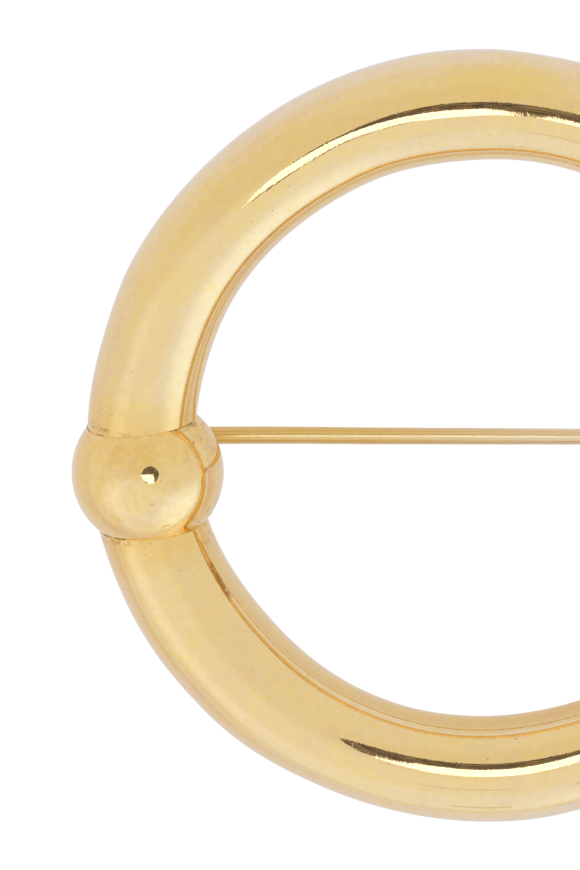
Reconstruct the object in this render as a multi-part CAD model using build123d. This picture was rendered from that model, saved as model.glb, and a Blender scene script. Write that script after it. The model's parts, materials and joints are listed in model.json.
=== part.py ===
from build123d import *
import math
import os

# Circle pin brooch, in millimetres, lying on its back with its face up (+Z).
# The pin stem runs along +X from its hinge behind the bead to the catch.
# The origin is on the resting plane, under the middle of the outline.

# Ring and bead: one hollow tube closed through one hollow ball
ring_radius = 19.5
tube_radius = 3.03
bead_radius = 4.29
bead_angle = 5.2
bead_inset = 0.25
metal_wall = 0.35

# Pin hinge: two outer knuckles on a saddle, the pin's eye between them
stem_y = -1.33
outer_knuckle_radius = 0.95
outer_knuckle_width = 1.35
eye_radius = 0.8
eye_width = 1.4
eye_side_gap = 0.05
saddle_thickness = 0.15
saddle_gap = 0.12
foot_drop = 0.86
rivet_radius = 0.4
rivet_running_gap = 0.05
rivet_seat_gap = 0.02
rivet_head_radius = 0.62
rivet_head_height = 0.18
rivet_head_gap = 0.03

# Pin stem: a slow taper, then a drawn point that ends inside the outline
stem_root_radius = 0.49
stem_shoulder_radius = 0.39
stem_flare_radius = 0.66
stem_flare_length = 2.2
point_length = 4.2
point_tip_radius = 0.06
point_inset = 0.6

# Catch: a plain fork under the far side of the ring
catch_length = 1.8
catch_cheek = 1.1
catch_stem_gap = 0.08
catch_corner_radius = 0.3
catch_mouth_chamfer = 0.2

# Heights above the resting plane
stem_z = foot_drop
bead_back_z = stem_z + outer_knuckle_radius + saddle_thickness
ring_z = bead_back_z + bead_radius

# Places along X: the outline's left end is the bead's and its right end the ring's
bead_distance = ring_radius - bead_inset
bead_offset = bead_distance * math.cos(math.radians(bead_angle))
ring_reach = ring_radius + tube_radius
ring_x = (bead_offset + bead_radius - ring_reach) / 2
bead_x = ring_x - bead_offset
bead_y = -bead_distance * math.sin(math.radians(bead_angle))
catch_x = ring_x + ring_radius
point_end_x = ring_x + ring_reach - point_inset

hinge_width = eye_width + 2 * eye_side_gap + 2 * outer_knuckle_width
stem_length = point_end_x - bead_x
shoulder_length = stem_length - point_length


def along_y(radius, length, y_middle):
    """A cylinder along Y, centred on the hinge's axis."""
    return Pos(bead_x, y_middle, stem_z) * Rot(90, 0, 0) * Cylinder(radius, length)


def box_between(x_range, y_range, z_range):
    """A box from its low and high coordinates."""
    sizes = [high - low for low, high in (x_range, y_range, z_range)]
    middles = [(high + low) / 2 for low, high in (x_range, y_range, z_range)]
    return Pos(*middles) * Box(*sizes)


def tube_and_bead(offset):
    """The ring's tube and its bead, drawn in from their outer surfaces by an offset."""
    tube = Pos(ring_x, 0, ring_z) * Torus(ring_radius, tube_radius - offset)
    bead = Pos(bead_x, bead_y, ring_z) * Sphere(bead_radius - offset)
    return tube + bead


def hinge_lugs():
    """The outer knuckles on their saddle, with a channel for the eye and the stem."""
    half_width = hinge_width / 2
    side = (stem_y - half_width, stem_y + half_width)
    saddle = box_between(
        (bead_x - outer_knuckle_radius, bead_x + outer_knuckle_radius),
        side,
        (stem_z, bead_back_z + bead_radius / 2),
    )
    lugs = saddle + along_y(outer_knuckle_radius, hinge_width, stem_y)
    half_channel = eye_width / 2 + eye_side_gap
    channel = box_between(
        (bead_x - 2 * outer_knuckle_radius, bead_x + 2 * outer_knuckle_radius),
        (stem_y - half_channel, stem_y + half_channel),
        (-outer_knuckle_radius, stem_z + eye_radius + saddle_gap),
    )
    below_foot = box_between(
        (bead_x - 2 * outer_knuckle_radius, bead_x + 2 * outer_knuckle_radius),
        side,
        (-outer_knuckle_radius, 0),
    )
    return lugs - channel - below_foot


def catch_fork():
    """Two cheeks with a round-ended slot between them that opens backwards."""
    slot_radius = stem_shoulder_radius + catch_stem_gap
    half_width = slot_radius + catch_cheek
    x_range = (catch_x - catch_length / 2, catch_x + catch_length / 2)
    block = box_between(
        x_range,
        (stem_y - half_width, stem_y + half_width),
        (0, ring_z - tube_radius / 2),
    )
    block = fillet(block.edges().filter_by(Axis.Z), catch_corner_radius)
    slot_end = Pos(catch_x, stem_y, stem_z) * Rot(0, 90, 0) * Cylinder(slot_radius, 2 * catch_length)
    slot = box_between(
        (catch_x - catch_length, catch_x + catch_length),
        (stem_y - slot_radius, stem_y + slot_radius),
        (-slot_radius, stem_z),
    )
    fork = block - slot - slot_end
    feet = fork.edges().filter_by(Axis.X).group_by(Axis.Z)[0]
    mouth = feet.filter_by(lambda edge: abs(edge.center().Y - stem_y) < half_width - catch_cheek / 2)
    return chamfer(mouth, catch_mouth_chamfer)


def ring_and_bead():
    """Tube, bead, knuckles and catch, soldered into one hollow piece."""
    outside = tube_and_bead(0) + hinge_lugs() + catch_fork()
    rivet_hole = along_y(rivet_radius + rivet_seat_gap, 2 * hinge_width, stem_y)
    return outside - tube_and_bead(metal_wall) - rivet_hole


def pin_stem():
    """The eye with its stem, turned as one outline about the stem's axis."""
    root = (0, stem_flare_radius)
    flare_end = (stem_flare_length, stem_root_radius)
    shoulder = (shoulder_length, stem_shoulder_radius)
    tip = (stem_length, point_tip_radius)
    slope = (stem_shoulder_radius - stem_root_radius) / (shoulder_length - stem_flare_length)
    outline = [
        Line((0, 0), root),
        Line(root, flare_end),
        Line(flare_end, shoulder),
        TangentArc(shoulder, tip, tangent=(1, slope)),
        Line(tip, (stem_length, 0)),
        Line((stem_length, 0), (0, 0)),
    ]
    stem = revolve(make_face(Curve() + outline), Axis.X)
    eye = along_y(eye_radius, eye_width, stem_y)
    hole = along_y(rivet_radius + rivet_running_gap, 2 * eye_width, stem_y)
    return Pos(bead_x, stem_y, stem_z) * stem + eye - hole


def hinge_rivet():
    """The rivet with its two low domed heads."""
    head_y = hinge_width / 2 + rivet_head_gap
    half_length = head_y + rivet_head_height
    dome_radius = (rivet_head_radius**2 + rivet_head_height**2) / (2 * rivet_head_height)
    outline = [
        Line((0, 0), (rivet_radius, 0)),
        Line((rivet_radius, 0), (rivet_radius, head_y)),
        Line((rivet_radius, head_y), (rivet_head_radius, head_y)),
        RadiusArc((rivet_head_radius, head_y), (0, half_length), -dome_radius),
        Line((0, half_length), (0, 0)),
    ]
    half = revolve(make_face(Curve() + outline), Axis.Y)
    return Pos(bead_x, stem_y, stem_z) * (half + mirror(half, Plane.XZ))


parts = {
    "ring_and_bead": ring_and_bead(),
    "pin_stem": pin_stem(),
    "hinge_rivet": hinge_rivet(),
}

os.makedirs("parts", exist_ok=True)
for name, solid in parts.items():
    export_step(solid, f"parts/{name}.step")
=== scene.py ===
import json
import math
import random

import bmesh
import bpy
from mathutils import Matrix, Vector
from bpy.props import FloatProperty, FloatVectorProperty, IntProperty, PointerProperty


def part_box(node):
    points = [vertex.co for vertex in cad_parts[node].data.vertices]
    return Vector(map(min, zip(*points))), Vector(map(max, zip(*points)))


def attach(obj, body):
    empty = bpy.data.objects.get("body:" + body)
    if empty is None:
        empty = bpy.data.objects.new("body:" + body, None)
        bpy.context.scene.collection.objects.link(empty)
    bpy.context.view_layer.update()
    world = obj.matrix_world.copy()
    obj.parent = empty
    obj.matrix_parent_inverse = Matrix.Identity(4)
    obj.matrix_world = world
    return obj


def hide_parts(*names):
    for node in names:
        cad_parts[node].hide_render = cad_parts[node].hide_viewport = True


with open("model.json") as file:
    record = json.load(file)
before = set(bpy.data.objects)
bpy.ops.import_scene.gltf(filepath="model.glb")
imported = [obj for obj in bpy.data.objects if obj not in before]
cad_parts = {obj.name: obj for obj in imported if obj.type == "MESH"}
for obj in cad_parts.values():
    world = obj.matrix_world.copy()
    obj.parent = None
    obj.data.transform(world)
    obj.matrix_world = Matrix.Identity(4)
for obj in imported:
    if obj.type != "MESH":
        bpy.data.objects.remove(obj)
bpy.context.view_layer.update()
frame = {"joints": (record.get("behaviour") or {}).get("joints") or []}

bl_info = {
    "name": "Circle pin brooch",
    "version": (1, 0, 0),
    "blender": (4, 5, 0),
    "location": "View3D > Sidebar > Brooch",
    "description": "A polished gold tube ring closed through one bead, with its pin, hinge and catch",
    "category": "Object",
}

MM = 0.001
FULL_TURN = 2 * math.pi
RING_NODE, STEM_NODE, RIVET_NODE = "ring_and_bead", "pin_stem", "hinge_rivet"
ring_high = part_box(RING_NODE)[1]
hinge_place = Vector(frame["joints"][0]["pos_m"])


# Sizes, finishes and stage values that a user would change


def length(name, description, value):
    return FloatProperty(
        name=name, description=description, default=value, unit="LENGTH", subtype="DISTANCE", precision=5
    )


def turn(name, description, degrees):
    return FloatProperty(
        name=name, description=description, default=math.radians(degrees), unit="ROTATION", subtype="ANGLE"
    )


def colour(name, description, value):
    return FloatVectorProperty(
        name=name, description=description, default=value, subtype="COLOR", size=3, min=0, max=4
    )


def share(name, description, value):
    return FloatProperty(name=name, description=description, default=value, subtype="FACTOR", min=0, max=1)


def number(name, description, value):
    return FloatProperty(name=name, description=description, default=value)


def pixels(name, description, value):
    return IntProperty(name=name, description=description, default=value, subtype="PIXEL")


class BroochSizes(bpy.types.PropertyGroup):
    ring_radius: length("Ring radius", "From the ring's centre to the middle of its tube", 19.5 * MM)
    tube_radius: length("Tube radius", "Half the thickness of the ring's tube", 3.03 * MM)
    bead_radius: length("Bead radius", "Half the width of the bead", 4.29 * MM)
    bead_angle: turn("Bead angle", "How far below the middle of the left side the bead sits", 5.5)
    bead_inset: length("Bead inset", "How far the bead sits inside the tube's middle line", 0.25 * MM)
    tube_end_angle: turn("Tube end", "How far from the bead's middle each end of the tube stops", 3.4)
    waviness: length("Waviness", "Height of the hand-made unevenness of the polished tube", 0.05 * MM)
    seam_radius: length("Seam radius", "Half the width of the solder line beside the bead", 0.042 * MM)
    fillet_radius: length("Solder radius", "Half the width of the solder round hinge and catch", 0.16 * MM)
    knuckle_radius: length("Knuckle radius", "Outer radius of the hinge's outer knuckles", 0.95 * MM)
    knuckle_width: length("Knuckle width", "Width of each outer knuckle", 1.35 * MM)
    eye_radius: length("Eye radius", "Outer radius of the pin's eye", 0.8 * MM)
    eye_width: length("Eye width", "Width of the pin's eye", 1.4 * MM)
    side_gap: length("Side gap", "Room between the eye and each outer knuckle", 0.05 * MM)
    saddle_gap: length("Saddle gap", "Room between the eye and the saddle above it", 0.12 * MM)
    rivet_radius: length("Rivet radius", "Radius of the hinge's rivet", 0.4 * MM)
    rivet_head_radius: length("Rivet head radius", "Radius of the rivet's domed heads", 0.62 * MM)
    rivet_head_height: length("Rivet head height", "How far each head stands out", 0.18 * MM)
    rivet_head_gap: length("Rivet head gap", "Room under each head", 0.03 * MM)
    root_radius: length("Stem root", "Radius of the stem beside its flare", 0.5 * MM)
    shoulder_radius: length("Stem shoulder", "Radius of the stem where its point begins", 0.425 * MM)
    root_bow: length("Root bow", "How far the stem's near half bows to one side", 0.03 * MM)
    end_bow: length("End bow", "How far its far half bows to the other side", -0.02 * MM)
    flare_radius: length("Stem flare", "Radius of the stem at its eye", 0.66 * MM)
    flare_length: length("Flare length", "Length over which the stem narrows from its eye", 2.2 * MM)
    point_length: length("Point length", "Length of the drawn point", 4.2 * MM)
    tip_radius: length("Tip radius", "Radius of the point's tip", 0.06 * MM)
    point_inset: length("Point inset", "How far the point stops inside the ring's outline", 0.6 * MM)
    catch_length: length("Catch length", "Size of the catch along the stem", 1.8 * MM)
    catch_cheek: length("Catch cheek", "Thickness of each cheek of the catch", 1.1 * MM)
    catch_slot: length("Catch slot", "Radius of the slot's round end", 0.47 * MM)
    edge_width: length("Edge width", "Width of the rounding on filed edges", 0.09 * MM)


class BroochFinish(bpy.types.PropertyGroup):
    gold: colour("Gold", "Colour of the polished yellow gold", (0.94, 0.71, 0.32))
    lemon_gold: colour("Lemon tint", "Yellower patches of the polished surface", (0.93, 0.68, 0.22))
    lilac_gold: colour("Lilac tint", "Paler and pinker mottle of the polished surface", (0.92, 0.69, 0.43))
    warm_gold: colour("Warm gold", "Tint where the gold was heated beside the solder", (0.92, 0.61, 0.17))
    blush_gold: colour("Blush", "Pink and orange tint of the heated gold", (0.93, 0.63, 0.30))
    rose_gold: colour("Rose tint", "Pinkish cloud in the polished surface", (0.90, 0.64, 0.36))
    smear: colour("Smear", "Brown smear beside the solder", (0.60, 0.31, 0.12))
    stem_gold: colour("Stem gold", "Colour of the drawn wire near its hinge", (0.85, 0.58, 0.21))
    end_gold: colour("Stem end gold", "Paler colour of the wire towards its point", (0.89, 0.70, 0.47))
    # Painted reflection: the brown streak on the tube's inner side below the bead stands for a dark
    # reflection
    reflection_streak_tone: colour("Scorch", "Brown streak burnt into the tube's inner side", (0.40, 0.15, 0.04))
    oxide: colour("Oxide", "Brown skin on the solder", (0.26, 0.115, 0.045))
    polish: share("Polish", "Roughness of the cleanest polished surface", 0.035)
    haze: share("Haze", "Extra roughness in the cloudy patches", 0.05)


class BroochStage(bpy.types.PropertyGroup):
    tilt: turn("Camera tilt", "How far the camera leans towards the top of the picture", 17.0)
    yaw: turn("Camera yaw", "How far the camera leans to the side", -0.616)
    roll: turn("Camera roll", "How far the camera is turned about its own axis", 0.3)
    distance: length("Camera distance", "From the ring's centre to the camera", 390 * MM)
    pixels_per_mm: number("Picture scale", "Picture pixels for one millimetre at the ring's centre", 17.804)
    centre_across: number("Centre across", "Picture column of the ring's centre", 488.45)
    centre_down: number("Centre down", "Picture row of the ring's centre", 441.4)
    picture_width: pixels("Picture width", "Width of the picture in pixels", 580)
    picture_height: pixels("Picture height", "Height of the picture in pixels", 870)


class BroochSettings(bpy.types.PropertyGroup):
    sizes: PointerProperty(type=BroochSizes)
    finish: PointerProperty(type=BroochFinish)
    stage: PointerProperty(type=BroochStage)


# Places worked out from the sizes and the frame


def ring_centre(s):
    return Vector((ring_high.x - s.ring_radius - s.tube_radius, 0, ring_high.z - s.bead_radius))


def bead_direction(s):
    return math.pi + s.bead_angle


def outward(angle):
    return Vector((math.cos(angle), math.sin(angle), 0))


def along_ring(angle):
    return Vector((-math.sin(angle), math.cos(angle), 0))


def on_ring(s, angle, radius=None):
    """The point at that angle on the ring's middle line, or on a circle of another radius."""
    reach = s.ring_radius if radius is None else radius
    return ring_centre(s) + outward(angle) * reach


def bead_centre(s):
    return on_ring(s, bead_direction(s), s.ring_radius - s.bead_inset)


def seam_turn(s):
    """The angle at the ring's centre between the bead's middle and the circle where the tube enters it."""
    apart = math.sqrt(s.bead_radius**2 - s.tube_radius**2)
    return 2 * math.asin(apart / (2 * s.ring_radius))


def catch_centre(s):
    return Vector((ring_centre(s).x + s.ring_radius, hinge_place.y, hinge_place.z))


# Modelling by hand, in world coordinates, on an object that sits at the origin


def put_down_all():
    if bpy.context.object and bpy.context.object.mode != "OBJECT":
        bpy.ops.object.mode_set(mode="OBJECT")
    bpy.ops.object.select_all(action="DESELECT")


def take_up(piece):
    put_down_all()
    piece.select_set(True)
    bpy.context.view_layer.objects.active = piece


def place_in_mesh():
    """Moves the active object's place, turn and scale into its mesh."""
    bpy.ops.object.transform_apply(location=True, rotation=True, scale=True)
    return bpy.context.object


def edit():
    bpy.ops.object.mode_set(mode="EDIT")
    bpy.context.tool_settings.mesh_select_mode = (True, False, False)


def leave_edit():
    bpy.ops.object.mode_set(mode="OBJECT")


def pick(test):
    """In edit mode, selects the points whose place passes the test."""
    bpy.ops.mesh.select_all(action="DESELECT")
    mesh = bmesh.from_edit_mesh(bpy.context.object.data)
    for point in mesh.verts:
        if test(point.co):
            point.select_set(True)
    mesh.select_flush(True)
    bmesh.update_edit_mesh(bpy.context.object.data)


def merge_and_face_out():
    bpy.ops.mesh.select_all(action="SELECT")
    bpy.ops.mesh.remove_doubles(threshold=1e-7)
    bpy.ops.mesh.normals_make_consistent(inside=False)


def soft(reach):
    """Settings that let a move in edit mode fade out over the reach."""
    return {"use_proportional_edit": True, "proportional_edit_falloff": "SMOOTH", "proportional_size": reach}


def combine(piece, tool, operation):
    """Cuts the tool's form out of the piece or joins it on, and removes the tool."""
    take_up(piece)
    both = piece.modifiers.new("both", "BOOLEAN")
    both.operation = operation
    both.solver = "EXACT"
    both.object = tool
    bpy.ops.object.modifier_apply(modifier=both.name)
    bpy.data.objects.remove(tool)


def round_edges(piece, width):
    take_up(piece)
    bevel = piece.modifiers.new("edges", "BEVEL")
    bevel.width = width
    bevel.segments = 4
    bevel.limit_method = "ANGLE"
    bevel.angle_limit = math.radians(30)
    bpy.ops.object.modifier_apply(modifier=bevel.name)


def hinge_rod(radius, width, sides=48):
    """A rod through the hinge, along its axis."""
    put_down_all()
    bpy.ops.mesh.primitive_cylinder_add(
        vertices=sides, radius=radius, depth=width, location=hinge_place, rotation=(math.pi / 2, 0, 0)
    )
    return place_in_mesh()


def draw_out(axis, stations, rim=48):
    """A closed turned form: a circle drawn out along an axis through (distance, radius) stations."""
    first = stations[0]
    turn_to = Vector((0, 0, 1)).rotation_difference(axis).to_euler()
    bpy.ops.mesh.primitive_circle_add(
        vertices=rim,
        radius=first[1],
        fill_type="NGON",
        location=hinge_place + axis * first[0],
        rotation=turn_to,
    )
    piece = place_in_mesh()
    edit()
    bpy.ops.mesh.select_all(action="SELECT")
    at, radius = first
    for distance, wanted in stations[1:]:
        bpy.ops.mesh.extrude_region_move(TRANSFORM_OT_translate={"value": axis * (distance - at)})
        factor = wanted / radius
        bpy.ops.transform.resize(value=(factor,) * 3, center_override=hinge_place + axis * distance)
        at, radius = distance, wanted
    merge_and_face_out()
    leave_edit()
    return piece


# Shares of a solder line's radius: its thinnest and thickest places, and how far it strays
SOLDER_THIN, SOLDER_THICK, SOLDER_STRAY = 0.35, 1.5, 0.25


def solder_line(name, path, radius, seed, evenness=0.5):
    """A thin uneven line of solder along a closed path, as a mesh."""
    dice = random.Random(seed)
    line = bpy.data.curves.new(name, "CURVE")
    line.dimensions = "3D"
    line.bevel_depth = radius
    line.bevel_resolution = 3
    line.resolution_u = 3
    run = line.splines.new("NURBS")
    run.points.add(len(path) - 1)
    size = 1.0
    for point, place in zip(run.points, path):
        size += (dice.uniform(SOLDER_THIN, SOLDER_THICK) - size) * (1 - evenness)
        stray = Vector([dice.gauss(0, 1) for _ in range(3)]) * radius * SOLDER_STRAY
        point.co = (*(place + stray), 1)
        point.radius = size
    run.use_cyclic_u = True
    run.order_u = 3
    piece = bpy.data.objects.new(name, line)
    bpy.context.scene.collection.objects.link(piece)
    take_up(piece)
    bpy.ops.object.convert(target="MESH")
    piece = bpy.context.object
    edit()
    merge_and_face_out()
    leave_edit()
    return piece


def round_foot(centre, half_x, half_y, points, height):
    """A closed path round the rectangular foot of a part, at the height of the metal under it."""
    path = []
    for i in range(points):
        angle = FULL_TURN * i / points
        x, y = math.cos(angle), math.sin(angle)
        stretch = 1 / max(abs(x) / half_x, abs(y) / half_y)
        place = Vector((centre.x + x * stretch, centre.y + y * stretch, 0))
        place.z = height(place)
        path.append(place)
    return path


def finish_piece(piece, name, body, material, stands_for, smooth_angle=None):
    """Names a piece, smooths and colours it, and lets it ride on its body."""
    take_up(piece)
    place_in_mesh()
    piece.name = piece.data.name = name
    if smooth_angle is None:
        bpy.ops.object.shade_smooth()
    else:
        bpy.ops.object.shade_smooth_by_angle(angle=math.radians(smooth_angle))
    piece.data.materials.clear()
    piece.data.materials.append(material)
    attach(piece, body)
    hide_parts(stands_for)


# Shader sums written as Python


class Wire:
    """An output socket that takes part in Python sums, each of which adds a Math node."""

    def __init__(self, finish, socket):
        self.finish, self.socket = finish, socket

    def __add__(self, other):
        return self.finish.maths("ADD", self, other)

    def __sub__(self, other):
        return self.finish.maths("SUBTRACT", self, other)

    def __rsub__(self, other):
        return self.finish.maths("SUBTRACT", other, self)

    def __mul__(self, other):
        return self.finish.maths("MULTIPLY", self, other)

    def __truediv__(self, other):
        return self.finish.maths("DIVIDE", self, other)

    __radd__, __rmul__ = __add__, __mul__


class Finish:
    """A node tree under construction."""

    def __init__(self, owner):
        owner.use_nodes = True
        self.tree = owner.node_tree
        self.tree.nodes.clear()

    def node(self, kind, settings=None, inputs=None, output=0):
        made = self.tree.nodes.new(kind)
        for key, value in (settings or {}).items():
            setattr(made, key, value)
        for key, value in (inputs or {}).items():
            if isinstance(value, Wire):
                self.tree.links.new(value.socket, made.inputs[key])
            else:
                made.inputs[key].default_value = value
        return Wire(self, made.outputs[output]) if made.outputs else made

    def maths(self, operation, *values):
        return self.node("ShaderNodeMath", {"operation": operation}, dict(enumerate(values)))

    def vector(self, operation, *values, output=0, **named):
        inputs = {**dict(enumerate(values)), **named}
        return self.node("ShaderNodeVectorMath", {"operation": operation}, inputs, output)

    def along(self, place, direction):
        """How far a place lies along a direction."""
        return self.vector("DOT_PRODUCT", place, tuple(direction), output="Value")

    def reach(self, place):
        """How long the way to a place is."""
        return self.vector("LENGTH", place, output="Value")

    def blend(self, factor, first, second, way="MIX"):
        settings = {"data_type": "RGBA", "blend_type": way}
        first, second = [value if isinstance(value, Wire) else (*value, 1) for value in (first, second)]
        return self.node("ShaderNodeMix", settings, {0: factor, 6: first, 7: second}, 2)

    def noise(self, place, scale, detail=3.0, roughness=0.5, distortion=0.0):
        """Cloudy noise from 0 to 1, of about scale clouds to the millimetre."""
        inputs = {"Vector": place, "Scale": scale, "Detail": detail, "Roughness": roughness}
        inputs["Distortion"] = distortion
        return self.node("ShaderNodeTexNoise", {"noise_dimensions": "3D"}, inputs)

    def between(self, value, low, high, first=0.0, last=1.0):
        """A smooth change from first to last while the value goes from low to high."""
        inputs = {0: value, 1: low, 2: high, 3: first, 4: last}
        return self.node("ShaderNodeMapRange", {"interpolation_type": "SMOOTHSTEP", "clamp": True}, inputs)

    def place_mm(self):
        """The point's place on the object, in millimetres."""
        coordinates = self.node("ShaderNodeTexCoord", output="Object")
        return self.vector("SCALE", coordinates, Scale=1 / MM)

    def metal(self, base, rough, height=None):
        """Shows metal of that colour and roughness, with that relief in millimetres."""
        inputs = {"Base Color": base, "Metallic": 1.0, "Roughness": rough}
        if height is not None:
            relief = {"Strength": 1.0, "Distance": MM, "Height": height}
            inputs["Normal"] = self.node("ShaderNodeBump", None, relief)
        shader = self.node("ShaderNodeBsdfPrincipled", None, inputs)
        self.node("ShaderNodeOutputMaterial", None, {"Surface": shader})

    def glow(self, shade):
        """Shows light of that colour and nothing else."""
        light = self.node("ShaderNodeEmission", None, {"Color": shade, "Strength": 1.0})
        self.node("ShaderNodeOutputMaterial", None, {"Surface": light})


def new_finish(name):
    material = bpy.data.materials.new(name)
    return material, Finish(material)


def beside_seams(paint, place, s):
    """How far the point is from the nearer of the two circles where the tube enters the bead."""
    nearer = None
    for side in (-1, 1):
        angle = bead_direction(s) + side * seam_turn(s)
        along = tuple(along_ring(angle))
        apart = paint.vector("SUBTRACT", place, tuple(on_ring(s, angle) / MM))
        off_plane = paint.along(apart, along)
        in_plane = paint.vector("SUBTRACT", apart, paint.vector("SCALE", along, Scale=off_plane))
        off_circle = paint.reach(in_plane) - s.tube_radius / MM
        distance = paint.maths("SQRT", off_plane * off_plane + off_circle * off_circle)
        nearer = distance if nearer is None else paint.maths("MINIMUM", nearer, distance)
    return nearer


def from_middle(paint, place, s):
    """How far the point lies outside the ring's middle line, seen from above."""
    apart = paint.vector("SUBTRACT", place, tuple(ring_centre(s) / MM))
    flat = paint.vector("MULTIPLY", apart, (1, 1, 0))
    return paint.reach(flat) - s.ring_radius / MM


# The painted reflection streak's middle, then its directions and its reach in each, in millimetres
STREAK_MIDDLE = (-14.72, -7.66, 8.01)
STREAK_REACHES = (((0.465, -0.885, 0), 1.5), ((0.447, 0.235, -0.868), 0.23), ((0.775, 0.391, 0.505), 0.6))

# Middle and reach, in millimetres, of the yellower patches of the tube's polish, and their depth
LEMON_PATCHES = (((1.1, 21.5, 8.5), (4.4, 1.5, 1.5), 0.6), ((-21.8, -1.5, 8.9), (1.8, 3.2, 2.6), 0.4))


def beside_streak(paint, place):
    """One on the painted reflection streak of the tube's inner side below the bead, fading to nought round
    it.
    """
    apart = paint.vector("SUBTRACT", place, STREAK_MIDDLE)
    furthest = 0.0
    for direction, reach in STREAK_REACHES:
        off = paint.maths("ABSOLUTE", paint.along(apart, direction))
        furthest = paint.maths("MAXIMUM", off / reach, furthest)
    return paint.between(furthest, 0.5, 1.0, 1.0, 0.0)


def polished_gold(name, prefs, scuffed=1.0, dulled=1.0):
    """Polished yellow gold with fine mottle, clouds, pits and scratches, warmer beside the solder, and a
    painted dark reflection streak below the bead.
    """
    f, s = prefs.finish, prefs.sizes
    material, paint = new_finish(name)
    place = paint.place_mm()
    clouds = paint.noise(place, 0.32, 4.0, 0.55, 0.6)
    patches = paint.noise(place, 1.1, 5.0, 0.6, 0.3)
    mottle = paint.noise(place, 3.0, 4.0, 0.75, 0.4)
    blush = paint.noise(place, 1.9, 4.0, 0.7, 0.8)
    grain = paint.noise(place, 9.0, 2.0)
    shade = paint.noise(place, 2.3, 5.0, 0.7, 0.6)
    lengthwise = paint.vector("MULTIPLY", place, (9.0, 0.8, 0.8))
    scratches = paint.between(paint.noise(lengthwise, 1.3, 2.0), 0.68, 0.73)
    distance = beside_seams(paint, place, s)
    heated = paint.between(distance + (patches - 0.5) * 4.2, 0.2, 2.8, 1.0, 0.0)
    pits = paint.between(paint.noise(place, 4.2, 1.0) + heated * 0.04, 0.73, 0.77)
    pits = pits * paint.between(patches, 0.5, 0.6)
    off_middle = from_middle(paint, place, s)
    flank_pits = paint.between(paint.noise(place, 2.6, 2.0, 0.6), 0.56, 0.63)
    flank_pits = flank_pits * paint.between(off_middle, -2.2, -2.9)
    pits = paint.maths("MAXIMUM", pits, flank_pits * heated)
    smears = paint.between(distance + (mottle - 0.5) * 0.8, 0.03, 0.24, 1.0, 0.0)
    smears = smears * paint.between(blush, 0.42, 0.6) * (paint.between(off_middle, -0.4, 2.2) * 0.6 + 0.25)
    base = paint.blend(paint.between(clouds, 0.42, 0.72) * 0.5, tuple(f.gold), tuple(f.rose_gold))
    base = paint.blend(paint.between(clouds, 0.5, 0.3) * 0.35, base, tuple(f.lemon_gold))
    base = paint.blend(paint.between(mottle, 0.4, 0.7) * 0.8, base, tuple(f.lilac_gold))
    base = paint.blend(paint.between(blush, 0.36, 0.68) * (heated * 0.5 + 0.12), base, tuple(f.blush_gold))
    base = paint.blend(heated * 0.5, base, tuple(f.warm_gold))
    for middle, reach, depth in LEMON_PATCHES:
        from_patch = paint.vector("DIVIDE", paint.vector("SUBTRACT", place, middle), reach)
        rich = paint.between(paint.reach(from_patch), 0.4, 1.0, depth, 0.0)
        base = paint.blend(rich, base, tuple(f.lemon_gold))
    bright = tuple(1 + dulled * more for more in (0.03, 0.03, 0.02))
    dull = tuple(1 - dulled * less for less in (0.015, 0.02, 0.035))
    cast = paint.blend(paint.between(shade, 0.35, 0.65), bright, dull)
    base = paint.blend(1.0, base, cast, "MULTIPLY")
    base = paint.blend(smears, base, tuple(f.smear))
    # Painted reflection: a dark brown streak on the tube's inner side below the bead
    painted_reflection = beside_streak(paint, place) * paint.between(mottle, 0.3, 0.5)
    base = paint.blend(painted_reflection * 0.85, base, tuple(f.reflection_streak_tone))
    base = paint.blend(pits * 0.45, base, tuple(f.oxide))
    rough = f.polish + paint.between(patches, 0.45, 0.75) * f.haze + pits * 0.2 + smears * 0.1
    scuffs = paint.between(patches, 0.42, 0.62) * scuffed
    height = grain * (scuffs * 0.0012 + 0.0005) + scratches * scuffs * 0.0012 - pits * 0.002
    paint.metal(base, rough, height)
    return material


# Painted shade for the wire's lower side, and the pale gold of a painted highlight band along it
WIRE_PAINTED_SHADE, PAINTED_HIGHLIGHT_GOLD = (0.93, 0.91, 0.89), (0.96, 0.80, 0.48)


def wire_gold(name, prefs):
    """Drawn gold wire: satin, a little flat on top, with fine lines along it, painted shade on its lower side
    and a painted highlight band along it.

    Along runs from the hinge, at -18.7, to the point, at 22.4, and across from the wire's
    middle, in millimetres.
    """
    f = prefs.finish
    material, paint = new_finish(name)
    place = paint.place_mm()
    lines = paint.noise(paint.vector("MULTIPLY", place, (0.35, 6.0, 6.0)), 1.6, 3.0)
    clouds = paint.noise(place, 0.9, 3.0)
    along = paint.along(place, (1, 0, 0))
    across = paint.along(place, (0, 1, 0)) - hinge_place.y / MM
    base = paint.blend(paint.between(along, -9.0, 9.0), tuple(f.stem_gold), tuple(f.end_gold))
    base = paint.blend(paint.between(clouds, 0.4, 0.7) * 0.2, base, tuple(f.rose_gold))
    # Painted shade: the wire's lower side is darkened
    base = paint.blend(paint.between(across, 0.06, -0.08), base, WIRE_PAINTED_SHADE, "MULTIPLY")
    # Painted highlight: a pale gold band along the wire just above its middle, fading out towards the hinge
    highlight_band = paint.between(paint.maths("ABSOLUTE", across - 0.105), 0.03, 0.085, 1.0, 0.0)
    highlight_band = highlight_band * paint.between(along, -15.0, -9.0)
    base = paint.blend(highlight_band * 0.6, base, PAINTED_HIGHLIGHT_GOLD)
    rough = 0.26 + paint.between(lines, 0.4, 0.7) * 0.08
    flat = across * paint.between(along, -15.0, -4.0, 0.04, 0.15)
    paint.metal(base, rough, lines * 0.0012 + flat)
    return material


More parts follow.
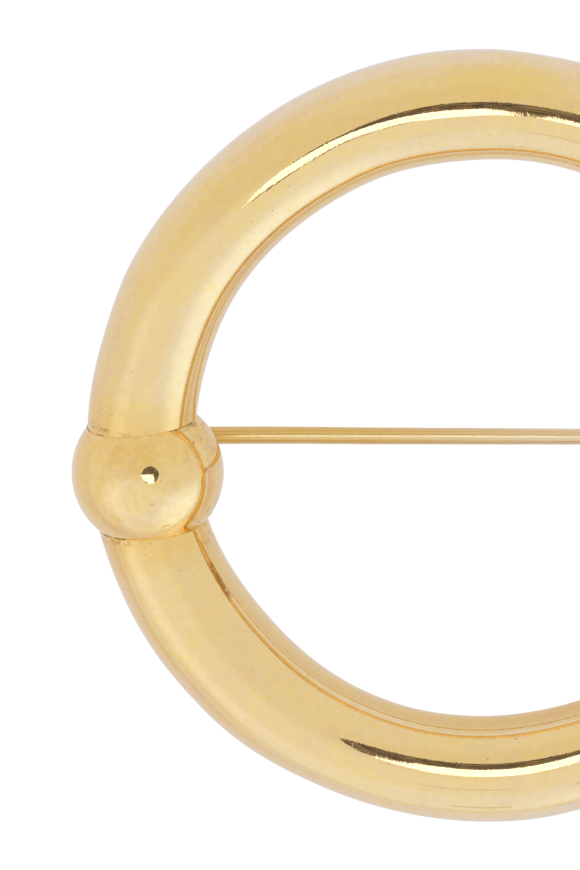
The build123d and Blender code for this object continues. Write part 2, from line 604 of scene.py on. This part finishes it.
def filed_gold(name, prefs):
    """Gold left from the file and the buff on the small parts at the back."""
    f = prefs.finish
    material, paint = new_finish(name)
    place = paint.place_mm()
    file_marks = paint.noise(paint.vector("MULTIPLY", place, (9.0, 1.2, 1.2)), 1.5, 3.0)
    clouds = paint.noise(place, 1.3, 4.0)
    grime = paint.between(paint.noise(place, 2.4, 4.0), 0.55, 0.75)
    base = paint.blend(paint.between(clouds, 0.4, 0.7) * 0.6, tuple(f.gold), tuple(f.warm_gold))
    base = paint.blend(grime * 0.35, base, tuple(f.oxide))
    rough = 0.14 + paint.between(file_marks, 0.4, 0.7) * 0.12 + grime * 0.15
    paint.metal(base, rough, file_marks * 0.008)
    return material


def soldered_gold(name, prefs):
    """Hard solder: gold with a brown skin left in patches, most of it on the outer side."""
    f, s = prefs.finish, prefs.sizes
    material, paint = new_finish(name)
    place = paint.place_mm()
    side = from_middle(paint, place, s)
    ends = paint.between(side, 0.2, 2.2, -0.09, 0.1) + paint.between(side, -1.0, -2.2, 0.0, 0.13)
    skin = paint.between(paint.noise(place, 1.0, 5.0, 0.6) + ends, 0.5, 0.62)
    flecks = paint.between(paint.noise(place, 7.0, 2.0), 0.56, 0.7)
    base = paint.blend(skin * 0.75, tuple(f.warm_gold), tuple(f.oxide))
    base = paint.blend(flecks * 0.5, base, tuple(f.gold))
    paint.metal(base, 0.16 + skin * 0.3)
    return material


# The pieces


TUBE_STEPS, TUBE_SIDES, RIPPLE_LENGTH = 480, 104, 7 * MM

# Where the hand-made tube is uneven: the angle in degrees and the thickening there,
# then how far it lies inward, how far the unevenness reaches and how far it lifts, in millimetres
TUBE_SWELLS = (
    (218, 1.045, 0.075, 7.5, 0.0),
    (232, 1.018, -0.06, 5.0, 0.0),
    (230, 1.0, 0.0, 8.0, -0.1),
    (146, 0.99, -0.04, 8.0, 0.0),
    (142, 1.0, 0.0, 9.5, 0.3),
    (254, 0.98, -0.02, 7.0, 0.0),
    (290, 0.985, 0.15, 6.0, 0.0),
    (164, 0.993, 0.08, 5.0, 0.0),
    (135, 0.988, 0.0, 8.0, 0.0),
    (110, 1.0, -0.06, 6.0, 0.0),
    (100, 1.012, -0.02, 7.0, 0.0),
    (98, 1.011, 0.0, 3.5, 0.0),
    (82, 0.988, 0.0, 3.5, 0.0),
    (70, 0.976, 0.1, 8.0, 0.0),
)

# Direction, height and reach in millimetres of the bead's slightly fuller crown
BEAD_CROWN, CROWN_HEIGHT, CROWN_REACH = Vector((0.13, 0.34, 0.93)).normalized(), 0.038, 2.4


class BROOCH_OT_ring_tube(bpy.types.Operator):
    """Bends the polished tube round the ring, both ends inside the bead"""

    bl_idname = "brooch.ring_tube"
    bl_label = "Ring tube"

    def swell(self, s, degrees, thickening, inward, reach, lift):
        """Thickens the tube at an angle and moves it inward and up, fading out over the reach."""
        angle = math.radians(degrees)
        centre = on_ring(s, angle)
        near = s.tube_radius * 1.3
        step = FULL_TURN / TUBE_STEPS * s.ring_radius
        pick(lambda p: abs((p - centre).dot(along_ring(angle))) < step * 0.55 and (p - centre).length < near)
        fading = soft(reach * MM)
        bpy.ops.transform.resize(value=(thickening,) * 3, center_override=centre, **fading)
        out = (centre - ring_centre(s)).normalized()
        bpy.ops.transform.translate(value=out * (-inward * MM) + Vector((0, 0, lift * MM)), **fading)

    def execute(self, context):
        prefs = context.scene.brooch
        s = prefs.sizes
        put_down_all()
        start, end = bead_direction(s) - s.tube_end_angle, bead_direction(s) + s.tube_end_angle
        bpy.ops.mesh.primitive_circle_add(
            vertices=TUBE_SIDES,
            radius=s.tube_radius,
            location=on_ring(s, start),
            rotation=(math.pi / 2, 0, start),
        )
        tube = place_in_mesh()
        edit()
        bpy.ops.mesh.select_all(action="SELECT")
        bpy.ops.mesh.spin(
            steps=TUBE_STEPS, angle=FULL_TURN - 2 * s.tube_end_angle, center=ring_centre(s), axis=(0, 0, 1)
        )
        for open_end in (start, end):
            middle, along = on_ring(s, open_end), along_ring(open_end)
            pick(lambda p: abs((p - middle).dot(along)) < 1e-6 and (p - middle).length < 2 * s.tube_radius)
            bpy.ops.mesh.edge_face_add()
        merge_and_face_out()
        for uneven in TUBE_SWELLS:
            self.swell(s, *uneven)
        leave_edit()
        ripple = bpy.data.textures.new("tube_ripple", "CLOUDS")
        ripple.noise_scale = RIPPLE_LENGTH
        ripple.noise_depth = 1
        wave = tube.modifiers.new("ripple", "DISPLACE")
        wave.texture = ripple
        wave.texture_coords = "LOCAL"
        wave.strength = s.waviness
        bpy.ops.object.modifier_apply(modifier=wave.name)
        finish_piece(tube, "ring_tube", "brooch", polished_gold("ring_gold", prefs), RING_NODE)
        return {"FINISHED"}


class BROOCH_OT_bead(bpy.types.Operator):
    """Raises the round bead that closes the ring"""

    bl_idname = "brooch.bead"
    bl_label = "Bead"

    def execute(self, context):
        prefs = context.scene.brooch
        s = prefs.sizes
        put_down_all()
        centre, along = bead_centre(s), along_ring(bead_direction(s))
        turn_to = Vector((0, 0, 1)).rotation_difference(along).to_euler()
        bpy.ops.mesh.primitive_uv_sphere_add(
            segments=160, ring_count=96, radius=s.bead_radius, location=centre, rotation=turn_to
        )
        bead = place_in_mesh()
        crown = centre + BEAD_CROWN * s.bead_radius
        edit()
        hidden, pushed_in = s.tube_radius * 0.7, 0.8 * MM
        # Each pole of the sphere faces into the tube, and is pushed in there, out of sight
        for side in (-1, 1):
            pick(
                lambda p: (p - centre).dot(along) * side > 0
                and ((p - centre) - along * (p - centre).dot(along)).length < hidden
            )
            bpy.ops.transform.translate(value=along * side * -pushed_in)
        leave_edit()
        top = min((point.co.copy() for point in bead.data.vertices), key=lambda p: (p - crown).length)
        edit()
        pick(lambda p: (p - top).length < 1e-6)
        bpy.ops.transform.translate(value=BEAD_CROWN * CROWN_HEIGHT * MM, **soft(CROWN_REACH * MM))
        leave_edit()
        gold = polished_gold("bead_gold", prefs, scuffed=0.7, dulled=1.9)
        finish_piece(bead, "bead", "brooch", gold, RING_NODE)
        return {"FINISHED"}


class BROOCH_OT_solder_seams(bpy.types.Operator):
    """Runs the thin solder lines where the tube enters the bead"""

    bl_idname = "brooch.solder_seams"
    bl_label = "Solder seams"

    def execute(self, context):
        prefs = context.scene.brooch
        s = prefs.sizes
        tube, bead = bpy.data.objects["ring_tube"], bpy.data.objects["bead"]
        material = soldered_gold("seam_solder", prefs)
        points, settling = 150, 24
        for side, name in ((-1, "seam_upper"), (1, "seam_lower")):
            angle = bead_direction(s) + side * seam_turn(s)
            path = []
            for i in range(points):
                round_tube = FULL_TURN * i / points
                point = on_ring(s, angle) + s.tube_radius * (
                    outward(angle) * math.cos(round_tube) + Vector((0, 0, math.sin(round_tube)))
                )
                for _ in range(settling):
                    for surface in (tube, bead):
                        point = surface.closest_point_on_mesh(point)[1]
                path.append(point.copy())
            seam = solder_line(name, path, s.seam_radius, seed=11 + side)
            finish_piece(seam, name, "brooch", material, RING_NODE)
        return {"FINISHED"}


# Room round the rivet in the outer knuckles and in the pin's eye
LUG_ROOM, EYE_ROOM = 0.02 * MM, 0.05 * MM


class BROOCH_OT_hinge_lugs(bpy.types.Operator):
    """Files the hinge's outer knuckles and their saddle behind the bead"""

    bl_idname = "brooch.hinge_lugs"
    bl_label = "Hinge lugs"

    def execute(self, context):
        prefs = context.scene.brooch
        s = prefs.sizes
        channel_width = s.eye_width + 2 * s.side_gap
        channel_top = hinge_place.z + s.eye_radius + s.saddle_gap
        width = channel_width + 2 * s.knuckle_width
        centre = bead_centre(s)
        into_bead, past_table, channel_length = 2.4 * MM, 1 * MM, 6 * MM
        lugs = hinge_rod(s.knuckle_radius, width, sides=64)
        edit()
        pick(lambda p: p.z > hinge_place.z + 0.02 * MM)
        bpy.ops.transform.translate(value=(0, 0, into_bead))
        merge_and_face_out()
        bpy.ops.mesh.bisect(
            plane_co=(0, 0, 0), plane_no=(0, 0, 1), use_fill=True, clear_inner=True, threshold=1e-7
        )
        leave_edit()
        bpy.ops.mesh.primitive_cube_add(
            size=1, location=(hinge_place.x, hinge_place.y, channel_top / 2 - past_table)
        )
        channel = bpy.context.object
        channel.scale = (channel_length, channel_width, channel_top + 2 * past_table)
        combine(lugs, place_in_mesh(), "DIFFERENCE")
        combine(lugs, hinge_rod(s.rivet_radius + LUG_ROOM, 2 * width), "DIFFERENCE")
        round_edges(lugs, s.edge_width)
        gold = filed_gold("hinge_gold", prefs)
        finish_piece(lugs, "hinge_lugs", "brooch", gold, RING_NODE, smooth_angle=40)

        def under_bead(place):
            off = Vector((place.x - centre.x, place.y - centre.y, 0)).length
            return centre.z - math.sqrt(max(s.bead_radius**2 - off**2, 0))

        path = round_foot(hinge_place, s.knuckle_radius, width / 2, points=120, height=under_bead)
        fillet = solder_line("hinge_solder", path, s.fillet_radius, seed=5, evenness=0.8)
        gold = soldered_gold("hinge_solder", prefs)
        finish_piece(fillet, "hinge_solder", "brooch", gold, RING_NODE)
        return {"FINISHED"}


class BROOCH_OT_catch(bpy.types.Operator):
    """Cuts the fork of the catch under the far side of the ring"""

    bl_idname = "brooch.catch"
    bl_label = "Catch"

    def execute(self, context):
        prefs = context.scene.brooch
        s = prefs.sizes
        centre, ring_at = catch_centre(s), ring_centre(s)
        half_y = s.catch_slot + s.catch_cheek
        top = ring_at.z - s.tube_radius * 0.6
        past_table = 2 * MM
        put_down_all()
        bpy.ops.mesh.primitive_cube_add(size=1, location=(centre.x, centre.y, top / 2))
        catch = bpy.context.object
        catch.scale = (s.catch_length, 2 * half_y, top)
        place_in_mesh()
        edit()
        bpy.ops.mesh.select_all(action="SELECT")
        bpy.ops.mesh.subdivide(number_cuts=1)
        leave_edit()
        put_down_all()
        bpy.ops.mesh.primitive_cylinder_add(
            vertices=48,
            radius=s.catch_slot,
            depth=4 * s.catch_length,
            location=centre,
            rotation=(0, math.pi / 2, 0),
        )
        slot = place_in_mesh()
        edit()
        pick(lambda p: p.z < centre.z - 0.01 * MM)
        bpy.ops.transform.translate(value=(0, 0, -past_table))
        leave_edit()
        combine(catch, slot, "DIFFERENCE")
        round_edges(catch, s.edge_width * 1.8)
        gold = filed_gold("catch_gold", prefs)
        finish_piece(catch, "catch_fork", "brooch", gold, RING_NODE, smooth_angle=40)

        def under_tube(place):
            off = Vector((place.x - ring_at.x, place.y, 0)).length - s.ring_radius
            return ring_at.z - math.sqrt(max(s.tube_radius**2 - off**2, 0))

        path = round_foot(centre, s.catch_length / 2, half_y, points=100, height=under_tube)
        fillet = solder_line("catch_solder", path, s.fillet_radius, seed=8, evenness=0.8)
        gold = soldered_gold("catch_solder", prefs)
        finish_piece(fillet, "catch_solder", "brooch", gold, RING_NODE)
        return {"FINISHED"}


# The flare beside the eye, as distances in millimetres and shares of its radius, and how softly it ends
FLARE_SHAPE, FLARE_FADE = ((0, 1), (0.6, 0.97), (1.3, 0.87)), 0.8 * MM

# How many stations shape the wire and its point, and the share by which the wire's radius is uneven
WIRE_STATIONS, POINT_STATIONS, WIRE_UNEVEN = 40, 15, 0.006

# How far along the wire each of its two bows is, and how far it reaches
BOW_PLACES = ((7 * MM, 6 * MM), (24 * MM, 15 * MM))


class BROOCH_OT_pin_stem(bpy.types.Operator):
    """Draws the pin's wire from its eye to its point"""

    bl_idname = "brooch.pin_stem"
    bl_label = "Pin stem"

    def stations(self, s):
        """The wire's (distance, radius) stations, from its flare to its point."""
        end = ring_high.x - s.point_inset - hinge_place.x
        shoulder = end - s.point_length
        flare = [(distance * MM, s.flare_radius * part) for distance, part in FLARE_SHAPE]
        wire_start = s.flare_length + FLARE_FADE
        stations = [*flare, (s.flare_length, s.root_radius * 1.03), (wire_start, s.root_radius)]
        dice = random.Random(3)
        for i in range(1, WIRE_STATIONS + 1):
            part = i / WIRE_STATIONS
            radius = s.root_radius + (s.shoulder_radius - s.root_radius) * part
            distance = wire_start + (shoulder - wire_start) * part
            stations.append((distance, radius * (1 + dice.uniform(-WIRE_UNEVEN, WIRE_UNEVEN))))
        for i in range(1, POINT_STATIONS):
            part = i / POINT_STATIONS
            radius = s.shoulder_radius + (s.tip_radius - s.shoulder_radius) * part**1.6
            stations.append((shoulder + s.point_length * part, radius))
        return [*stations, (end - 0.01 * MM, s.tip_radius * 0.9), (end, s.tip_radius * 0.45)]

    def execute(self, context):
        prefs = context.scene.brooch
        s = prefs.sizes
        put_down_all()
        stations = self.stations(s)
        stem = draw_out(Vector((1, 0, 0)), stations)
        edit()
        for (distance, reach), bow in zip(BOW_PLACES, (s.root_bow, s.end_bow)):
            station = min(stations, key=lambda pair: abs(pair[0] - distance))[0] + hinge_place.x
            pick(lambda p: abs(p.x - station) < 0.01 * MM)
            bpy.ops.transform.translate(value=(0, bow, 0), **soft(reach))
        leave_edit()
        combine(stem, hinge_rod(s.eye_radius, s.eye_width, sides=64), "UNION")
        combine(stem, hinge_rod(s.rivet_radius + EYE_ROOM, 4 * s.eye_width), "DIFFERENCE")
        gold = wire_gold("pin_gold", prefs)
        finish_piece(stem, "pin_wire", "pin", gold, STEM_NODE, smooth_angle=40)
        return {"FINISHED"}


class BROOCH_OT_rivet(bpy.types.Operator):
    """Closes the hinge with its domed rivet"""

    bl_idname = "brooch.rivet"
    bl_label = "Rivet"

    def execute(self, context):
        prefs = context.scene.brooch
        s = prefs.sizes
        put_down_all()
        head = s.eye_width / 2 + s.side_gap + s.knuckle_width + s.rivet_head_gap
        rim, steps = 0.02 * MM, 9
        half = [(head, s.rivet_radius), (head, s.rivet_head_radius * 0.96), (head + rim, s.rivet_head_radius)]
        for i in range(1, steps):
            lean = math.pi / 2 * i / steps
            rise = (s.rivet_head_height - rim) * math.sin(lean)
            half.append((head + rim + rise, s.rivet_head_radius * math.cos(lean)))
        stations = [(-d, r) for d, r in reversed(half)] + half
        rivet = draw_out(Vector((0, 1, 0)), stations, rim=40)
        gold = filed_gold("rivet_gold", prefs)
        finish_piece(rivet, "rivet", "brooch", gold, RIVET_NODE, smooth_angle=35)
        return {"FINISHED"}


# The stage


TENT_TONE, HORIZON_TONE, TABLE_TONE = (0.822, 0.823, 0.786), (0.816, 0.822, 0.93), (0.816, 0.82, 0.887)

# (azimuth, elevation, inner and outer half angle), all in degrees, and the tent's tone there
TENT_TONES = (
    ((107, 60, 0.1, 39), (0.792, 0.764, 0.644)),
    ((276, 35, 31, 44), (0.869, 0.943, 1.126)),
    ((221, 41, 5, 37), (0.978, 1.015, 1.113)),
    ((315, 11, 0.1, 44), (1.032, 1.182, 1.493)),
    ((238, 66, 10, 35), (0.876, 0.906, 0.903)),
    ((140, 30, 1, 28), (0.813, 0.779, 0.672)),
)

# (across, up, inner and outer radius), all in millimetres, and the table's tone there as the polish shows it:
# painted shadow and warm bounce light under and inside the ring, and painted bluish light further out
TABLE_LIGHT_AND_SHADE = (
    ((-7, 17, 6, 43), (0.805, 0.874, 1.203)),
    ((-1, -56, 43, 68), (0.802, 0.871, 1.175)),
    ((-56, -44, 4, 69), (0.76, 0.697, 0.715)),
    ((-69, 83, 30, 57), (0.826, 0.811, 0.76)),
    ((-1, -6, 13, 39), (0.763, 0.752, 0.816)),
    ((8, 3, 2, 10), (0.837, 0.889, 0.962)),
    ((7, -12, 3, 16), (0.725, 0.64, 0.55)),
)

# Place across, up and towards the camera, and radius, of the tent's dark opening, in millimetres
OPENING_PLACE, OPENING_RADIUS = Vector((1, -19, 180)), 46

# Tones in the opening: the dark, its specks, the lit lower half and the ledge across that
DARK, SPECK, LIT, LEDGE = (0.06, 0.055, 0.05), (0.34, 0.28, 0.24), (2.0, 2.0, 2.35), (0.85, 0.96, 0.8)

# Name, place from the ring's centre, width and radius in millimetres, and tone, of two poles in front
TENT_POLES = (
    ("tent_pole_high", (-2.8, -76, 109), 14.5, 4, (0.75, 0.77, 0.77)),
    ("tent_pole_low", (-0.4, -58, 13), 8, 1.7, (0.76, 0.75, 0.77)),
)

# How much light the table returns, and how much it gives
TABLE_WHITE, TABLE_GLOW = 0.12, 0.97


class BROOCH_OT_stage(bpy.types.Operator):
    """Sets the pale table, the white tent that lights the brooch, and the camera"""

    bl_idname = "brooch.stage"
    bl_label = "Stage"

    def camera_axes(self, t):
        flat = math.cos(t.tilt)
        toward = Vector((math.sin(t.yaw) * flat, math.sin(t.tilt), math.cos(t.yaw) * flat)).normalized()
        across = Vector((0, 1, 0)).cross(toward).normalized()
        return Matrix((across, toward.cross(across), toward)).transposed()

    def camera(self, context, t, aim):
        axes = self.camera_axes(t)
        lens_px = t.pixels_per_mm * t.distance / MM
        right_of_middle = t.centre_across - t.picture_width / 2
        above_middle = t.picture_height / 2 - t.centre_down
        off_centre = Vector((right_of_middle, above_middle, -lens_px))
        swing = Vector((0, 0, -1)).rotation_difference(off_centre.normalized()).to_matrix()
        data = bpy.data.cameras.new("camera")
        camera = bpy.data.objects.new("camera", data)
        context.scene.collection.objects.link(camera)
        place = aim + axes.col[2] * t.distance
        rolled = axes @ Matrix.Rotation(t.roll, 3, "Z")
        camera.matrix_world = Matrix.Translation(place) @ (rolled @ swing.transposed()).to_4x4()
        data.sensor_fit = "VERTICAL"
        data.sensor_width = data.sensor_height = 36
        data.lens = data.sensor_height * lens_px / t.picture_height
        data.clip_start, data.clip_end = 0.01, 20
        context.scene.camera = camera
        return axes

    def table_glow(self, aim):
        """The table's painted light and shade as the polish shows it, which changes with the place on the
        table.
        """
        material, paint = new_finish("table_glow")
        place = paint.place_mm()
        shade = TABLE_TONE
        for (across, up, inner, outer), tone in TABLE_LIGHT_AND_SHADE:
            apart = paint.vector("SUBTRACT", place, (aim.x / MM + across, aim.y / MM + up, 0))
            shade = paint.blend(paint.between(paint.reach(apart), inner, outer, 1.0, 0.0), shade, tone)
        paint.glow(shade)
        return material

    def opening_glow(self, axes, aim):
        """The dark opening of the tent, its lower half lit but for a dark lip at the lower left."""
        material, paint = new_finish("opening")
        place = paint.vector("SUBTRACT", paint.place_mm(), tuple(aim / MM))
        across, up = paint.along(place, axes.col[0]), paint.along(place, axes.col[1])
        from_centre = paint.reach(paint.vector("SUBTRACT", place, tuple(axes @ OPENING_PLACE)))
        specks = paint.noise(place, 0.16, 5.0, 0.7)
        rag = (specks - 0.5) * 4.5
        slant = across + (up + 17) * 0.36 + rag * 0.5
        lit = paint.between(up + rag, -18.6, -15.6, 1.0, 0.0) * paint.between(slant, 12.0, 15.0, 1.0, 0.0)
        lit = lit * paint.between(across, 18.0, 22.0, 1.0, 0.0)
        lip = paint.between(from_centre, OPENING_RADIUS - 5.0, OPENING_RADIUS - 3.8)
        lip = lip * paint.between(across, -8.0, -14.0) * paint.between(across, -33.0, -29.0)
        lit = lit * (1.0 - lip * paint.between(up, -28.0, -36.0))
        ledge = paint.between(paint.maths("ABSOLUTE", up + 39), 1.0, 2.6, 1.0, 0.0)
        ledge = ledge * paint.between(across, 6.0, 12.0, 1.0, 0.0)
        dim = paint.blend(paint.between(specks, 0.4, 0.62), DARK, SPECK)
        paint.glow(paint.blend(lit, dim, paint.blend(ledge * 0.85, LIT, LEDGE)))
        return material

    def only_in_polish(self, thing, name, material):
        """Names a part of the stage that is seen only in the brooch's polish."""
        thing.name = name
        thing.data.materials.append(material)
        thing.visible_camera = thing.visible_shadow = thing.visible_diffuse = False

    def opening(self, axes, aim):
        bpy.ops.mesh.primitive_circle_add(
            vertices=96,
            radius=OPENING_RADIUS * MM,
            fill_type="NGON",
            location=aim + axes @ (OPENING_PLACE * MM),
            rotation=axes.to_euler(),
        )
        self.only_in_polish(place_in_mesh(), "opening", self.opening_glow(axes, aim))

    def pole(self, aim, name, place, width, radius, tone):
        bpy.ops.mesh.primitive_cylinder_add(
            vertices=24,
            radius=radius * MM,
            depth=width * MM,
            location=aim + Vector(place) * MM,
            rotation=(0, math.pi / 2, 0),
        )
        material, paint = new_finish(name)
        paint.glow((*tone, 1))
        self.only_in_polish(place_in_mesh(), name, material)

    def table(self, aim):
        """The white table, and the painted light and shade that the polish shows in its place."""
        white, paint = new_finish("table")
        paper = paint.node("ShaderNodeBsdfDiffuse", None, {"Color": (*[TABLE_WHITE] * 3, 1)})
        lit_below = paint.node("ShaderNodeEmission", None, {"Color": (1, 1, 1, 1), "Strength": TABLE_GLOW})
        shader = paint.node("ShaderNodeAddShader", None, {0: paper, 1: lit_below})
        paint.node("ShaderNodeOutputMaterial", None, {"Surface": shader})
        bpy.ops.mesh.primitive_plane_add(size=3, location=(0, 0, 0))
        table = bpy.context.object
        table.name = "table"
        table.data.materials.append(white)
        table.visible_glossy = False
        bpy.ops.mesh.primitive_plane_add(size=3, location=(0, 0, -0.02 * MM))
        self.only_in_polish(bpy.context.object, "table_in_polish", self.table_glow(aim))

    def tent(self, context):
        world = bpy.data.worlds.new("tent")
        context.scene.world = world
        paint = Finish(world)
        toward = paint.node("ShaderNodeTexCoord", output="Generated")
        shade = TENT_TONE
        for (azimuth, elevation, inner, outer), tone in TENT_TONES:
            a, e = math.radians(azimuth), math.radians(elevation)
            aim = (math.cos(a) * math.cos(e), math.sin(a) * math.cos(e), math.sin(e))
            far, near = math.cos(math.radians(outer)), math.cos(math.radians(inner))
            shade = paint.blend(paint.between(paint.along(toward, aim), far, near), shade, tone)
        height = paint.along(toward, (0, 0, 1))
        shade = paint.blend(paint.between(height, 0.0, 0.16, 0.8, 0.0), shade, HORIZON_TONE)
        light = paint.node("ShaderNodeBackground", None, {"Color": shade, "Strength": 1.0})
        paint.node("ShaderNodeOutputWorld", None, {"Surface": light})

    def execute(self, context):
        prefs = context.scene.brooch
        put_down_all()
        aim = ring_centre(prefs.sizes)
        axes = self.camera(context, prefs.stage, aim)
        self.tent(context)
        self.table(aim)
        self.opening(axes, aim)
        for pole in TENT_POLES:
            self.pole(aim, *pole)
        view = context.scene.view_settings
        view.view_transform, view.look, view.exposure, view.gamma = "Standard", "None", 0, 1
        return {"FINISHED"}


class BROOCH_PT_panel(bpy.types.Panel):
    """Lists the brooch's sizes, finishes and building steps"""

    bl_label = "Circle pin brooch"
    bl_space_type = "VIEW_3D"
    bl_region_type = "UI"
    bl_category = "Brooch"

    def draw(self, context):
        for step in STEPS:
            self.layout.operator(step.bl_idname)
        prefs = context.scene.brooch
        for group in (prefs.sizes, prefs.finish, prefs.stage):
            for name in group.__annotations__:
                self.layout.prop(group, name)


STEPS = (
    BROOCH_OT_ring_tube,
    BROOCH_OT_bead,
    BROOCH_OT_solder_seams,
    BROOCH_OT_hinge_lugs,
    BROOCH_OT_catch,
    BROOCH_OT_pin_stem,
    BROOCH_OT_rivet,
    BROOCH_OT_stage,
)
CLASSES = (BroochSizes, BroochFinish, BroochStage, BroochSettings, *STEPS, BROOCH_PT_panel)


def register():
    for item in CLASSES:
        bpy.utils.register_class(item)
    bpy.types.Scene.brooch = PointerProperty(type=BroochSettings)


def unregister():
    del bpy.types.Scene.brooch
    for item in reversed(CLASSES):
        bpy.utils.unregister_class(item)


def main():
    register()
    for step in STEPS:
        group, action = step.bl_idname.split(".")
        getattr(getattr(bpy.ops, group), action)()
    put_down_all()


if __name__ == "__main__":
    main()
